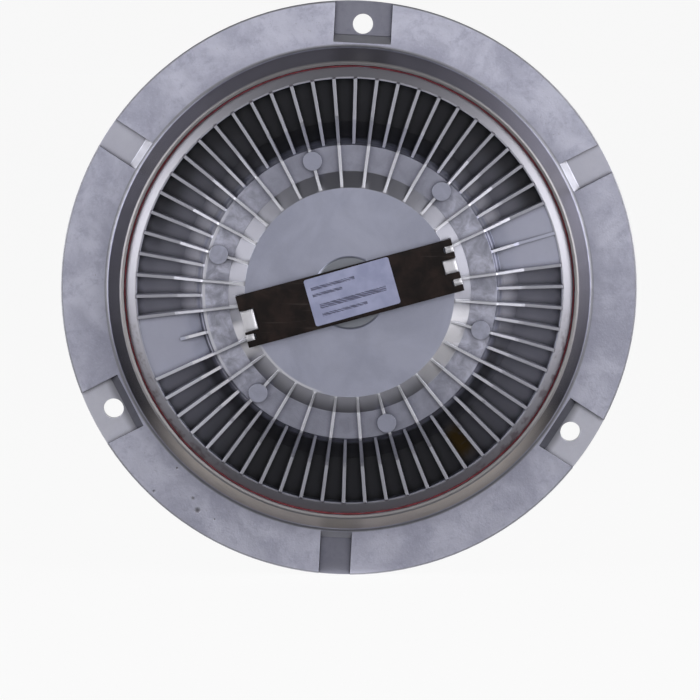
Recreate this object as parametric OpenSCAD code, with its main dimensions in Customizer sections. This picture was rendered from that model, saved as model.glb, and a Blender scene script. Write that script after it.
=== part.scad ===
// Viscous fan clutch: a finned aluminium drum on a threaded steel hub, driven by silicone oil
// and governed by a bimetal strip on its front face. Millimetres.
// Axis along Y, fins towards -Y, hub towards +Y, up +Z. Origin: hub rear face, on the axis.

/* [Fan flange] */
// Radial width of the fan flange outside the drum
flange_w = 16; // [15:0.5:24]
// Thickness of the fan flange
flange_t = 6; // [4.5:0.5:8]
// Rounding of the corner between flange and drum
flange_fillet = 1.5; // [1:0.5:6]
// Distance from the flange edge in to the bolt hole centres
bolt_inset = 8; // [6.5:0.5:10]
// Number of fan bolts
bolt_count = 3; // [3:1:4]
// Diameter of each fan bolt hole
bolt_hole_d = 7; // [5:0.5:8]
// Width of the milled pad round each bolt hole
bolt_pad_w = 20; // [14:0.5:26]
// Radial run of the ramp at the inner end of a bolt pad
bolt_pad_run = 3.6; // [1.5:0.1:3.6]
// Width of the plain pads between the bolt pads
plain_pad_w = 11; // [6:0.5:16]
// Radial run of the ramp at the inner end of a plain pad
plain_pad_run = 3; // [1:0.1:4]
// Depth of the pads in the flange face
pad_depth = 1.5; // [0.5:0.1:2.5]
// Direction of the first bolt hole, from the right-hand side
bolt_turn = 87; // [0:1:119]

/* [Drum] */
// Distance that the drum lip stands in front of the flange face
lip_rise = 9.9; // [8:0.1:13]
// Radial flare of the drum from its lip to the flange
drum_flare = 4.7; // [2.5:0.1:6]
// Thickness of the lip that is rolled over the cover edge
lip_wall = 1; // [0.8:0.1:2]
// Distance that the lip tip is rolled inward
lip_roll = 0.3; // [0.2:0.05:0.6]
// Height of the lip above the cover edge
lip_over = 1.5; // [1.2:0.1:4]
// Wall of the drum round the rotor chamber
drum_wall = 4.4; // [3:0.2:5]
// Thickness of the rear wall
rear_wall_t = 4; // [3:0.5:6]
// Wall of the bearing boss
boss_wall = 7; // [5:0.5:9]
// Number of cooling fins on the rear wall
rear_fin_count = 36; // [24:2:48]
// Thickness of a rear fin
rear_fin_t = 1.8; // [1.2:0.1:2.6]
// Height of a rear fin beside the bearing boss
rear_fin_h = 10; // [6:0.5:14]

/* [Front cover] */
// Diameter of the plain plateau in the middle
plateau_d = 72.2; // [68:0.2:80]
// Radial width of the cone round the plateau
cone_w = 5.7; // [3:0.1:8]
// Height of the cone
cone_rise = 3; // [2:0.1:5]
// Radial width of the plain ring outside the cone
ring_w = 8.9; // [7:0.1:13]
// Radial length of the open channels between the fins
channel_w = 22.7; // [20:0.1:28]
// Height of the ring above the channel floor
ring_rise = 10.5; // [9:0.1:13]
// Height of the rim above the channel floor
rim_h = 6.3; // [5.5:0.1:8]
// Radial width of the level top of the rim
rim_flat = 0.6; // [0.6:0.1:2]
// Radial width of the bevel outside the rim
rim_bevel_w = 3.2; // [1.5:0.1:4]
// Radial width of the edge that the seal lies on
edge_w = 1; // [1:0.1:2]
// Thickness of the cover at its clamped edge
edge_t = 6.9; // [5.5:0.1:7.5]
// Wall thickness of the cover
cover_wall = 3.5; // [2.5:0.1:4.5]
// Radial width of the seat under the cover edge
seat_w = 5.6; // [3.5:0.1:7]

/* [Cooling fins] */
// Number of fin places round the cover
fin_places = 62; // [50:2:66]
// Thickness of a fin at its tip
fin_tip_t = 0.8; // [0.6:0.1:1.6]
// Thickness of a fin at its root
fin_root_t = 1.5; // [1.2:0.1:2.6]
// Height of the fin tops above the rim
fin_over = 1.5; // [0.5:0.1:2.5]
// Share of the channel length where the fin tops run level
fin_level_share = 0.56; // [0.4:0.02:0.7]
// Height of the long ribs above the ring
rib_h = 2; // [0.5:0.1:2.6]
// Direction of the two oil return blocks
block_turn = 15.8; // [0:0.1:30]
// Depth of the block tops below the rim
block_drop = 0.3; // [0.1:0.1:1.5]
// Diameter of the ejector bosses on the ring
ejector_d = 6.5; // [4:0.5:8]
// Height of the ejector bosses above the long ribs
ejector_over = 0.3; // [0.1:0.1:0.8]
// Diameter of the oil return bores
return_bore_d = 3; // [2:0.1:3.6]

/* [Bimetal strip] */
// Length of the strip
strip_l = 76.6; // [70:0.2:84]
// Width of the strip
strip_w = 18.4; // [16:0.2:22]
// Thickness of the strip
strip_t = 1; // [0.6:0.1:1.4]
// Gap between plateau and strip
strip_gap = 2.5; // [1.8:0.1:4]
// Direction of the strip
strip_turn = 15; // [0:0.5:30]
// Width of the notch in the left end
left_notch_w = 7.6; // [5:0.1:9]
// Width of the notch in the right end
right_notch_w = 5; // [4:0.1:7]
// Depth of both end notches
notch_depth = 5; // [3.5:0.1:6.5]
// Width of the narrow slits beside the notches
slit_w = 1.6; // [1.2:0.1:2]
// Depth of the narrow slits
slit_depth = 3.4; // [2.6:0.1:4.2]
// Distance from the strip edge in to the middle of a slit
slit_inset = 3.4; // [2.6:0.1:3.8]
// Height of the centre boss under the strip
centre_boss_h = 0.7; // [0.4:0.1:1.2]
// Diameter of the centre boss
centre_boss_d = 24; // [18:0.5:30]
// Length of the label
label_l = 30.2; // [24:0.2:36]
// Width of the label
label_w = 16.5; // [12:0.1:17]
// Thickness of the label
label_t = 0.15; // [0.1:0.05:0.3]

/* [Valve] */
// Diameter of the control pin
pin_d = 5; // [4:0.1:6]
// Section diameter of the pin ring
ring_section_d = 0.9; // [0.7:0.05:1]
// Thickness of the separator plate
plate_t = 1.2; // [0.8:0.1:1.6]
// Diameter of the valve hole in the plate
valve_hole_d = 4.5; // [3:0.1:6]
// Distance of the valve hole from the axis
valve_hole_r = 36; // [30:0.5:39]
// Distance of the lever rivet from the axis
rivet_r = 26; // [20:0.5:32]
// Thickness of the valve lever
lever_t = 0.5; // [0.3:0.05:0.8]
// Width of the valve lever
lever_w = 8; // [7:0.2:10]
// Diameter of the rivet shank
rivet_d = 3; // [2:0.1:3.6]
// Direction of the valve hole
valve_turn = 105; // [0:1:180]

/* [Rotor] */
// Number of driving lands on the rotor
land_count = 5; // [3:1:5]
// Thickness of a land
land_t = 1.6; // [1.2:0.1:1.9]
// Height of a land
land_h = 6; // [4:0.1:8]
// Gap between meshing lands
land_gap = 0.5; // [0.3:0.05:0.6]
// Gap at the land tips and behind the rotor
tip_gap = 0.5; // [0.3:0.05:0.8]
// Gap round the rotor
rotor_gap = 1; // [0.5:0.1:2]
// Thickness of the rotor disc
rotor_t = 5; // [4:0.1:7]
// Diameter of the oil holes through the rotor disc
rotor_hole_d = 6; // [4:0.5:8]

/* [Hub and bearing] */
// Size across flats of the hub nut
nut_af = 36; // [32:1:41]
// Thickness of the hub nut
nut_t = 12; // [9:0.5:15]
// Core diameter of the left-hand thread in the hub
thread_core_d = 22.4; // [18:0.2:24]
// Depth of the thread
thread_l = 18; // [14:0.5:19]
// Length of the collar between nut and bearing
collar_l = 8; // [6.5:0.5:12]
// Bearing bore
shaft_d = 25; // [22:0.5:27]
// Bearing outside diameter
bearing_od = 52; // [50:1:58]
// Bearing width
bearing_w = 15; // [14:0.5:18]
// Number of bearing balls
ball_count = 9; // [7:1:9]
// Width of the shoulder in front of the bearing
shoulder_t = 5.5; // [4:0.5:8]
// Thickness of the bearing circlip
clip_t = 1.5; // [1:0.1:2]

/* [Hidden] */
$fn = 96;
// Gap of a pressed or bonded fit, on the radius
press_gap = 0.02;
// Gap of a running fit, on the radius
run_gap = 0.04;
// Gap between cover edge and lip, on the radius
cover_gap = 0.1;
// Gap of a loose place, on each side
loose_gap = 0.3;
// Overlap of shapes that are joined to one solid
join = 0.6;
// Rounding of small edges
edge_r = 0.8;
// Chamfer of the flange's front edge
flange_edge = 0.3;

// Stations along the axis, from the hub rear face forward
z_bearing = nut_t + collar_l;
z_bearing_mid = z_bearing + bearing_w / 2;
z_shoulder = z_bearing + bearing_w;
z_wall = z_shoulder + shoulder_t;
z_wall_rear = z_wall - rear_wall_t;
z_rotor = z_wall + tip_gap;
z_rotor_front = z_rotor + rotor_t;
z_seat = z_rotor_front + land_h + tip_gap;
z_floor = z_seat + cover_wall;
z_rim = z_floor + rim_h;
z_edge = z_seat + edge_t;
z_fin = z_rim + fin_over;
z_ring = z_floor + ring_rise;
z_plateau = z_ring + cone_rise;
z_boss = z_plateau + centre_boss_h;
z_strip = z_plateau + strip_gap;
z_strip_top = z_strip + strip_t;
z_lip = z_edge + lip_over;
z_flange = z_lip - lip_rise;
z_flange_rear = z_flange - flange_t;
z_pad = z_flange - pad_depth;
z_plate = z_seat + plate_t;
z_lever = z_plate + lever_t;
z_block = z_rim - block_drop;

// Radii of the cover, from the middle outward
plateau_r = plateau_d / 2;
cone_r = plateau_r + cone_w;
ring_r = cone_r + ring_w;
rim_r = ring_r + channel_w;
bevel_r = rim_r + rim_flat;
edge_in_r = bevel_r + rim_bevel_w;
cover_r = edge_in_r + edge_w;
seal_drop = 0.5 * edge_w;

// Radii of the drum
chamber_r = cover_r - seat_w;
lip_in_r = cover_r + cover_gap;
lip_r = lip_in_r + lip_wall;
drum_r = lip_r + drum_flare;
flange_r = drum_r + flange_w;
bolt_r = flange_r - bolt_inset;
pilot_r = chamber_r + drum_wall;
pilot_edge = drum_wall / 2;

// Corner between flange and drum: an arc that touches both
flare_a = atan(drum_flare / lip_rise);
fillet_cr = drum_r + flange_fillet * (cos(flare_a) - (1 - sin(flare_a)) * tan(flare_a));
fillet_cz = z_flange + flange_fillet;
fillet_steps = 8;
bolt_floor_r = bolt_r - bolt_hole_d / 2 - loose_gap;
plain_floor_r = drum_r + plain_pad_run + loose_gap;

// Fins
pitch_a = 360 / fin_places;
block_places = 3;
fins_per_half = fin_places / 2 - block_places + 1;
level_r = rim_r - fin_level_share * channel_w;
ejector_r = cone_r + 0.58 * ring_w;
ejector_places = [4, 14, 24];
wall_foot_r = ring_r + 0.12 * channel_w;
wall_heel_r = ring_r + 0.34 * channel_w;

// Reservoir and valve
wall_in_r = ring_r - cover_wall - 1;
plate_lip = 2.3;
plate_r = wall_in_r + plate_lip;
pin_r = pin_d / 2;
pin_bore_r = pin_r + run_gap;
guide_r = pin_bore_r + cover_wall + 1;
z_guide = z_plateau - 12;
groove_r = pin_r - ring_section_d;
z_groove = (z_guide + z_plateau) / 2;
rivet_head_r = 0.85 * rivet_d;
rivet_head_t = 0.3 * rivet_d;

// Rotor
rotor_r = chamber_r - rotor_gap;
land_pitch = 2 * (land_t + land_gap);
seat_r = shaft_d / 2 - 1.5;
rotor_hub_r = seat_r + 5.5;
ring_t = 1.2;
ring_groove_d = 0.8;
z_shaft_end = z_rotor_front + ring_t + 1.6;

// Bearing
ball_r = 0.15 * (bearing_od - shaft_d);
pitch_r = (bearing_od + shaft_d) / 4;
race_gap = 0.08;
inner_land_r = pitch_r - 0.55 * ball_r;
outer_land_r = pitch_r + 0.55 * ball_r;
cage_half_t = 0.32 * ball_r;
pocket_gap = 0.15;
seal_t = 0.9;
seal_inset = 0.4;
seal_gap = 0.2;
cage_gap = 0.935;
cage_half_w = bearing_w / 2 - seal_inset - seal_t - cage_gap;
bore_r = bearing_od / 2 + press_gap;
boss_r = bore_r + boss_wall;
clip_groove_r = bore_r + 1.4;
clip_w = 2.8;
clip_open_a = 40;
clip_lug_r = 2.2;
clip_eye_r = 1;
mouth_l = 1.4;
z_boss_rear = z_bearing - clip_t - mouth_l;
collar_r = max(shaft_d, thread_core_d) / 2 + 4.5;
drill_point_l = thread_core_d / 2 * tan(31);

function arc(c, r, a0, a1, n) = [for (i = [0:n]) c + r * [cos(a0 + (a1 - a0) * i / n), sin(a0 + (a1 - a0) * i / n)]];

// Turns the build direction, forward = up, into the part's own axes
module stand() {
    rotate([90, 0, 0])
        children();
}

// Blade that stands on the axis side: its outline gives radius and height, its section the draft
module blade(outline, root_t, tip_t, z0, z1) {
    intersection() {
        rotate([90, 0, 0])
            linear_extrude(height = 2 * root_t, center = true)
                polygon(outline);
        rotate([90, 0, 90])
            linear_extrude(height = flange_r)
                polygon([[-root_t / 2, z0], [root_t / 2, z0], [tip_t / 2, z1], [-tip_t / 2, z1]]);
    }
}

// Cut across the flange face with a ramp at its inner end
module pad_cut(width, floor_r, run) {
    rotate([90, 0, 0])
        linear_extrude(height = width, center = true)
            polygon([[floor_r, z_pad], [flange_r + join, z_pad], [flange_r + join, z_lip],
                [floor_r - run, z_lip], [floor_r - run, z_flange + 0.1 * run]]);
}

module housing_profile() {
    polygon(concat(
        [[bore_r, z_boss_rear + edge_r], [bore_r + edge_r, z_boss_rear], [boss_r - edge_r, z_boss_rear],
         [boss_r, z_boss_rear + edge_r], [boss_r + edge_r, z_wall_rear],
         [pilot_r - pilot_edge, z_wall_rear], [pilot_r, z_wall_rear + pilot_edge],
         [pilot_r, z_flange_rear], [flange_r - edge_r, z_flange_rear],
         [flange_r, z_flange_rear + edge_r], [flange_r, z_flange - flange_edge],
         [flange_r - flange_edge, z_flange]],
        arc([fillet_cr, fillet_cz], flange_fillet, 270, 180 + flare_a, fillet_steps),
        [[lip_r, z_lip], [lip_r - lip_wall / 2, z_lip + lip_wall / 4], [lip_in_r - lip_roll, z_lip],
         [lip_in_r - lip_roll, z_edge + lip_over / 2], [lip_in_r, z_edge + lip_over / 3], [lip_in_r, z_seat],
         [chamber_r, z_seat], [chamber_r, z_wall], [outer_land_r, z_wall],
         [outer_land_r, z_shoulder], [bore_r, z_shoulder]]));
}

module rear_fins() {
    for (i = [0:rear_fin_count - 1])
        rotate((i + 0.5) * 360 / rear_fin_count)
            blade([[boss_r - join, z_wall_rear + join], [pilot_r - pilot_edge, z_wall_rear + join],
                [pilot_r - pilot_edge, z_wall_rear - 0.3 * rear_fin_h],
                [boss_r + 6 * edge_r, z_wall_rear - rear_fin_h], [boss_r - join, z_wall_rear - rear_fin_h]],
                rear_fin_t, rear_fin_t, z_wall_rear - rear_fin_h, z_wall);
}

module housing_body() {
    color("silver")
        stand()
            difference() {
                union() {
                    rotate_extrude()
                        housing_profile();
                    rear_fins();
                }
                translate([0, 0, z_bearing - clip_t - press_gap])
                    cylinder(r = clip_groove_r, h = clip_t + press_gap);
                for (i = [0:bolt_count - 1])
                    rotate(bolt_turn + i * 360 / bolt_count) {
                        pad_cut(bolt_pad_w, bolt_floor_r, bolt_pad_run);
                        translate([bolt_r, 0, z_flange_rear - join])
                            cylinder(d = bolt_hole_d, h = flange_t + 2 * join);
                        rotate(180 / bolt_count)
                            pad_cut(plain_pad_w, plain_floor_r, plain_pad_run);
                    }
            }
}

module cover_profile() {
    polygon([[pin_bore_r, z_boss], [centre_boss_d / 2, z_boss], [centre_boss_d / 2 + centre_boss_h, z_plateau],
        [plateau_r, z_plateau], [cone_r, z_ring], [ring_r, z_ring], [wall_foot_r, z_floor + 0.4 * ring_rise],
        [wall_heel_r, z_floor], [rim_r, z_floor], [rim_r, z_rim], [bevel_r, z_rim],
        [edge_in_r, z_edge + seal_drop], [edge_in_r, z_edge], [cover_r, z_edge], [cover_r, z_seat],
        [plate_r + press_gap, z_seat], [plate_r + press_gap, z_plate], [wall_in_r, z_plate],
        [wall_in_r, z_ring - cover_wall], [cone_r - cover_wall / 2, z_ring - cover_wall],
        [plateau_r - cover_wall / 2, z_plateau - cover_wall], [guide_r, z_plateau - cover_wall],
        [guide_r, z_guide], [pin_bore_r, z_guide]]);
}

module cover_lands() {
    for (i = [0:land_count - 2])
        translate([0, 0, z_seat - land_h])
            difference() {
                cylinder(r = rotor_r - land_t - land_gap - i * land_pitch, h = land_h + join);
                translate([0, 0, -join])
                    cylinder(r = rotor_r - 2 * land_t - land_gap - i * land_pitch, h = land_h + 3 * join);
            }
}

fin_in_r = ring_r - join;
fin_out_r = rim_r + join;
fin_foot = [[fin_out_r, z_floor - join], [fin_out_r, z_rim], [rim_r, z_fin], [level_r, z_fin]];
short_fin = concat(fin_foot, [[fin_in_r, z_ring - join], [fin_in_r, z_floor - join]]);
long_fin = concat(fin_foot,
    [[ring_r, z_ring + rib_h], [cone_r, z_ring + rib_h], [plateau_r + join, z_plateau],
     [plateau_r - join, z_plateau], [plateau_r - join, z_plateau - cover_wall / 2],
     [cone_r, z_ring - cover_wall / 2], [ring_r - join, z_ring - cover_wall / 2], [fin_in_r, z_floor - join]]);

module cover_fins() {
    for (half = [0, 180])
        for (k = [0:fins_per_half - 1])
            rotate(block_turn + half + (k + block_places / 2) * pitch_a)
                blade(k % 2 == 0 ? long_fin : short_fin, fin_root_t, fin_tip_t, z_floor - join, z_plateau);
}

// Solid blocks that carry the oil return bores, with a rib on top
module return_blocks() {
    for (half = [0, 180])
        rotate(block_turn + half) {
            rotate(-block_places * pitch_a / 2)
                rotate_extrude(angle = block_places * pitch_a)
                    polygon([[fin_in_r, z_floor - join], [fin_out_r, z_floor - join], [fin_out_r, z_block],
                        [fin_in_r, z_block]]);
            blade([[fin_in_r, z_floor], [half == 0 ? fin_out_r : level_r, z_floor],
                [half == 0 ? fin_out_r : level_r, z_rim], [level_r, z_rim + fin_over / 2], [fin_in_r, z_ring]],
                fin_root_t, fin_tip_t, z_floor - join, z_plateau);
        }
}

module return_bores() {
    for (half = [0, 180])
        rotate(block_turn + half) {
            translate([wall_in_r - join, 0, z_floor + return_bore_d / 2])
                rotate([0, 90, 0])
                    cylinder(d = return_bore_d, h = rotor_r - wall_in_r - join);
            translate([rotor_r - return_bore_d, 0, z_seat - join])
                cylinder(d = return_bore_d / 2, h = z_floor - z_seat + return_bore_d);
        }
}

module ejector_bosses() {
    for (half = [0, 180])
        for (k = ejector_places)
            rotate(block_turn + half + (k + block_places / 2) * pitch_a)
                translate([ejector_r, 0, z_ring - join])
                    cylinder(d = ejector_d, h = join + rib_h + ejector_over);
}

// Cast posts at one end of the strip: a lug in the notch, ledges under the tines, staked ribs in the slits
module strip_holder(notch_w, slit_sides) {
    end = strip_l / 2;
    foot = z_ring - cover_wall / 2;
    lug_w = notch_w - 2 * loose_gap;
    ledge_l = slit_depth - 2 * loose_gap;
    translate([end - notch_depth + loose_gap, -lug_w / 2, foot])
        cube([notch_depth - 2 * loose_gap, lug_w, z_strip_top + edge_r - foot]);
    for (side = [-1, 1]) {
        ledge_w = (strip_w - notch_w) / 2 - loose_gap;
        translate([end - ledge_l, side * (notch_w / 2 + loose_gap + ledge_w / 2) - ledge_w / 2, foot])
            cube([ledge_l, ledge_w, z_strip - foot]);
    }
    for (side = slit_sides) {
        rib_t = slit_w - 2 * loose_gap;
        y_mid = side * (strip_w / 2 - slit_inset);
        translate([end - ledge_l, y_mid - rib_t / 2, z_strip - join])
            cube([ledge_l, rib_t, join + strip_t + join]);
        translate([end - ledge_l, y_mid - slit_w / 2 - loose_gap, z_strip_top])
            cube([ledge_l, slit_w + 2 * loose_gap, join]);
    }
}

module front_cover() {
    color("lightgray")
        stand()
            difference() {
                union() {
                    rotate_extrude()
                        cover_profile();
                    cover_lands();
                    cover_fins();
                    return_blocks();
                    ejector_bosses();
                    rotate(strip_turn)
                        strip_holder(right_notch_w, [-1, 1]);
                    rotate(strip_turn + 180)
                        strip_holder(left_notch_w, [1]);
                }
                return_bores();
            }
}

// Red bead of sealant pressed out between cover edge and rolled lip
module cover_seal() {
    seal_out_r = lip_in_r - press_gap;
    z_bead = z_edge + lip_over / 3;
    color("firebrick")
        stand()
            rotate_extrude()
                polygon([[edge_in_r, z_edge], [seal_out_r, z_edge], [seal_out_r, z_bead],
                    [seal_out_r - lip_roll, z_bead + lip_over / 6], [seal_out_r - lip_roll, z_bead + lip_over / 3],
                    [edge_in_r, z_bead], [edge_in_r, z_edge]]);
}

module bearing_ring(r0, r1) {
    rotate_extrude()
        difference() {
            translate([r0, z_bearing])
                square([r1 - r0, bearing_w]);
            translate([pitch_r, z_bearing_mid])
                circle(r = ball_r + race_gap);
        }
}

module bearing_outer_ring() {
    color("gray")
        stand()
            bearing_ring(outer_land_r, bearing_od / 2);
}

module bearing_inner_ring() {
    color("gray")
        stand()
            bearing_ring(shaft_d / 2 + press_gap, inner_land_r);
}

module bearing_balls() {
    color("white")
        stand()
            for (i = [0:ball_count - 1])
                rotate(i * 360 / ball_count)
                    translate([pitch_r, 0, z_bearing_mid])
                        sphere(r = ball_r);
}

module bearing_cage() {
    color("tan")
        stand()
            difference() {
                translate([0, 0, z_bearing_mid - cage_half_w])
                    difference() {
                        cylinder(r = pitch_r + cage_half_t, h = 2 * cage_half_w);
                        translate([0, 0, -join])
                            cylinder(r = pitch_r - cage_half_t, h = 2 * cage_half_w + 2 * join);
                    }
                for (i = [0:ball_count - 1])
                    rotate(i * 360 / ball_count)
                        translate([pitch_r - ball_r, 0, z_bearing_mid])
                            rotate([0, 90, 0])
                                cylinder(r = ball_r + pocket_gap, h = 2 * ball_r);
            }
}

module bearing_seal(z0) {
    color("black")
        stand()
            translate([0, 0, z0])
                difference() {
                    cylinder(r = outer_land_r - press_gap, h = seal_t);
                    translate([0, 0, -join])
                        cylinder(r = inner_land_r + seal_gap, h = seal_t + 2 * join);
                }
}

module bearing_front_seal() {
    bearing_seal(z_shoulder - seal_inset - seal_t);
}

module bearing_rear_seal() {
    bearing_seal(z_bearing + seal_inset);
}

module bearing_circlip() {
    out_r = clip_groove_r - press_gap;
    lug_at = out_r - clip_w - clip_lug_r / 2;
    color("dimgray")
        stand()
            translate([0, 0, z_bearing - clip_t])
                difference() {
                    union() {
                        rotate(clip_open_a / 2)
                            rotate_extrude(angle = 360 - clip_open_a)
                                translate([out_r - clip_w, 0])
                                    square([clip_w, clip_t - press_gap]);
                        for (side = [-1, 1])
                            rotate(side * (clip_open_a / 2 + 3))
                                translate([lug_at, 0, 0])
                                    cylinder(r = clip_lug_r, h = clip_t - press_gap);
                    }
                    for (side = [-1, 1])
                        rotate(side * (clip_open_a / 2 + 3))
                            translate([lug_at, 0, -join])
                                cylinder(r = clip_eye_r, h = clip_t + 2 * join);
                }
}

module hub_shaft() {
    corner_r = nut_af / 2 / cos(30);
    chamfer_h = (corner_r - nut_af / 2) * 0.6;
    color("slategray")
        stand()
            difference() {
                union() {
                    intersection() {
                        cylinder(r = corner_r, h = nut_t, $fn = 6);
                        rotate_extrude()
                            polygon([[0, 0], [nut_af / 2, 0], [corner_r, chamfer_h], [corner_r, nut_t - chamfer_h],
                                [nut_af / 2, nut_t], [0, nut_t]]);
                    }
                    rotate_extrude()
                        polygon([[0, nut_t / 2], [nut_af / 2 - join, nut_t / 2], [collar_r, nut_t], [collar_r, z_bearing],
                            [shaft_d / 2, z_bearing], [shaft_d / 2, z_shoulder - edge_r], [seat_r, z_shoulder - edge_r],
                            [seat_r, z_rotor_front], [seat_r - ring_groove_d, z_rotor_front],
                            [seat_r - ring_groove_d, z_rotor_front + ring_t + press_gap],
                            [seat_r, z_rotor_front + ring_t + press_gap],
                            [seat_r, z_shaft_end - edge_r], [seat_r - edge_r, z_shaft_end], [0, z_shaft_end]]);
                }
                translate([0, 0, -join])
                    cylinder(d = thread_core_d, h = thread_l + join);
                translate([0, 0, thread_l])
                    cylinder(r1 = thread_core_d / 2, r2 = 0, h = drill_point_l);
            }
}

module rotor() {
    hole_r = rotor_hub_r + 2 * rotor_hole_d;
    color("darkgray")
        stand()
            difference() {
                union() {
                    translate([0, 0, z_shoulder])
                        cylinder(r = rotor_hub_r, h = z_rotor_front - z_shoulder);
                    translate([0, 0, z_rotor])
                        cylinder(r = rotor_r, h = rotor_t);
                    for (i = [0:land_count - 1])
                        translate([0, 0, z_rotor_front - join])
                            difference() {
                                cylinder(r = rotor_r - i * land_pitch, h = land_h + join);
                                translate([0, 0, -join])
                                    cylinder(r = rotor_r - i * land_pitch - land_t, h = land_h + 3 * join);
                            }
                }
                translate([0, 0, z_shoulder - join])
                    cylinder(r = seat_r + press_gap, h = z_rotor_front - z_shoulder + 2 * join);
                for (i = [0:5])
                    rotate(i * 60)
                        translate([hole_r, 0, z_rotor - join])
                            cylinder(d = rotor_hole_d, h = rotor_t + 2 * join);
            }
}

module rotor_circlip() {
    color("dimgray")
        stand()
            translate([0, 0, z_rotor_front])
                rotate(clip_open_a / 2)
                    rotate_extrude(angle = 360 - clip_open_a)
                        translate([seat_r - ring_groove_d + press_gap, 0])
                            square([2 * ring_t + ring_groove_d, ring_t]);
}

module separator_plate() {
    color("gainsboro")
        stand()
            difference() {
                translate([0, 0, z_seat])
                    cylinder(r = plate_r, h = plate_t);
                rotate(valve_turn) {
                    translate([valve_hole_r, 0, z_seat - join])
                        cylinder(d = valve_hole_d, h = plate_t + 2 * join);
                    translate([-rivet_r, 0, z_seat - join])
                        cylinder(r = rivet_d / 2 + press_gap, h = plate_t + 2 * join);
                }
            }
}

module valve_lever() {
    tip_r = valve_hole_d / 2 + 1.6;
    color("goldenrod")
        stand()
            rotate(valve_turn)
                translate([0, 0, z_plate])
                    difference() {
                        union() {
                            translate([-rivet_r, -lever_w / 2, 0])
                                cube([rivet_r + valve_hole_r, lever_w, lever_t]);
                            translate([-rivet_r, 0, 0])
                                cylinder(d = lever_w, h = lever_t);
                            translate([valve_hole_r, 0, 0])
                                cylinder(r = tip_r, h = lever_t);
                        }
                        translate([-rivet_r, 0, -join])
                            cylinder(r = rivet_d / 2 + press_gap, h = lever_t + 2 * join);
                    }
}

module lever_rivet() {
    color("peru")
        stand()
            rotate(valve_turn)
                translate([-rivet_r, 0, 0])
                    rotate_extrude()
                        polygon([[0, z_seat - rivet_head_t], [rivet_head_r - rivet_head_t / 2, z_seat - rivet_head_t],
                            [rivet_head_r, z_seat], [rivet_d / 2, z_seat], [rivet_d / 2, z_lever],
                            [rivet_head_r, z_lever], [rivet_head_r - rivet_head_t / 2, z_lever + rivet_head_t],
                            [0, z_lever + rivet_head_t]]);
}

module control_pin() {
    groove_h = ring_section_d + 2 * run_gap;
    color("lightsteelblue")
        stand()
            rotate_extrude()
                polygon([[0, z_lever], [pin_r - edge_r, z_lever], [pin_r, z_lever + edge_r],
                    [pin_r, z_groove - groove_h / 2], [groove_r, z_groove - groove_h / 2],
                    [groove_r, z_groove + groove_h / 2], [pin_r, z_groove + groove_h / 2],
                    [pin_r, z_strip - edge_r], [pin_r - edge_r, z_strip], [0, z_strip]]);
}

module pin_o_ring() {
    color("darkred")
        stand()
            rotate_extrude()
                translate([pin_r - ring_section_d / 2, z_groove])
                    circle(d = ring_section_d);
}

module end_cut(notch_w, slit_sides) {
    end = strip_l / 2;
    translate([end - notch_depth, -notch_w / 2])
        square([notch_depth + join, notch_w]);
    for (side = slit_sides)
        translate([end - slit_depth, side * (strip_w / 2 - slit_inset) - slit_w / 2])
            square([slit_depth + join, slit_w]);
}

module bimetal_strip() {
    color("saddlebrown")
        stand()
            rotate(strip_turn)
                translate([0, 0, z_strip])
                    linear_extrude(height = strip_t)
                        difference() {
                            square([strip_l, strip_w], center = true);
                            end_cut(right_notch_w, [-1, 1]);
                            rotate(180)
                                end_cut(left_notch_w, [1]);
                        }
}

module strip_label() {
    corner = 1.5;
    color("lavender")
        stand()
            rotate(strip_turn)
                translate([0, 0, z_strip_top])
                    linear_extrude(height = label_t)
                        union() {
                            square([label_l - 2 * corner, label_w], center = true);
                            square([label_l, label_w - 2 * corner], center = true);
                            for (sx = [-1, 1])
                                for (sy = [-1, 1])
                                    translate([sx * (label_l / 2 - corner), sy * (label_w / 2 - corner)])
                                        circle(r = corner);
                        }
}

housing_body();
front_cover();
cover_seal();
bearing_outer_ring();
bearing_inner_ring();
bearing_balls();
bearing_cage();
bearing_front_seal();
bearing_rear_seal();
bearing_circlip();
hub_shaft();
rotor();
rotor_circlip();
separator_plate();
valve_lever();
lever_rivet();
control_pin();
pin_o_ring();
bimetal_strip();
strip_label();
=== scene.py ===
import math
import bpy
import bmesh
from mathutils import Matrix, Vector, noise
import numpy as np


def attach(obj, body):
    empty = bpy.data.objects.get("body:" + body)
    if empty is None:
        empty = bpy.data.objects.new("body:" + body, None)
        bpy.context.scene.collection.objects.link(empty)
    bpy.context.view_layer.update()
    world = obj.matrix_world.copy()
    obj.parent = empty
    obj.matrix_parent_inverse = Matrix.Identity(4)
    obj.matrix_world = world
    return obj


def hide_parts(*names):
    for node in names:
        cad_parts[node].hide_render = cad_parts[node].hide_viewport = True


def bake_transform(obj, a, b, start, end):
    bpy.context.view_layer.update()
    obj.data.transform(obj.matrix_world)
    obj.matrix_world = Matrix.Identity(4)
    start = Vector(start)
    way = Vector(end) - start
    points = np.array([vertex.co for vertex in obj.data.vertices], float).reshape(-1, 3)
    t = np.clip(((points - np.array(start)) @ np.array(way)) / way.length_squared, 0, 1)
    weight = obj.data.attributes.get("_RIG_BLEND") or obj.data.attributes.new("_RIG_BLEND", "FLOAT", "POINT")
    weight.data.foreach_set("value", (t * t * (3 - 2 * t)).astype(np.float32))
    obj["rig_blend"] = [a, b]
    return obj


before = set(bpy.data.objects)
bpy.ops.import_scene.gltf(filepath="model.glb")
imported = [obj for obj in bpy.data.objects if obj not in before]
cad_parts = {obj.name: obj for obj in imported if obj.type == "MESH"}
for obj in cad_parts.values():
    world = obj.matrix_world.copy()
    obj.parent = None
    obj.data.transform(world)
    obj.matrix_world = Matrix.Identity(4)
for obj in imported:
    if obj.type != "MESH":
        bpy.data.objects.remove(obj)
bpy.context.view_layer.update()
scene = bpy.context.scene
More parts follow.
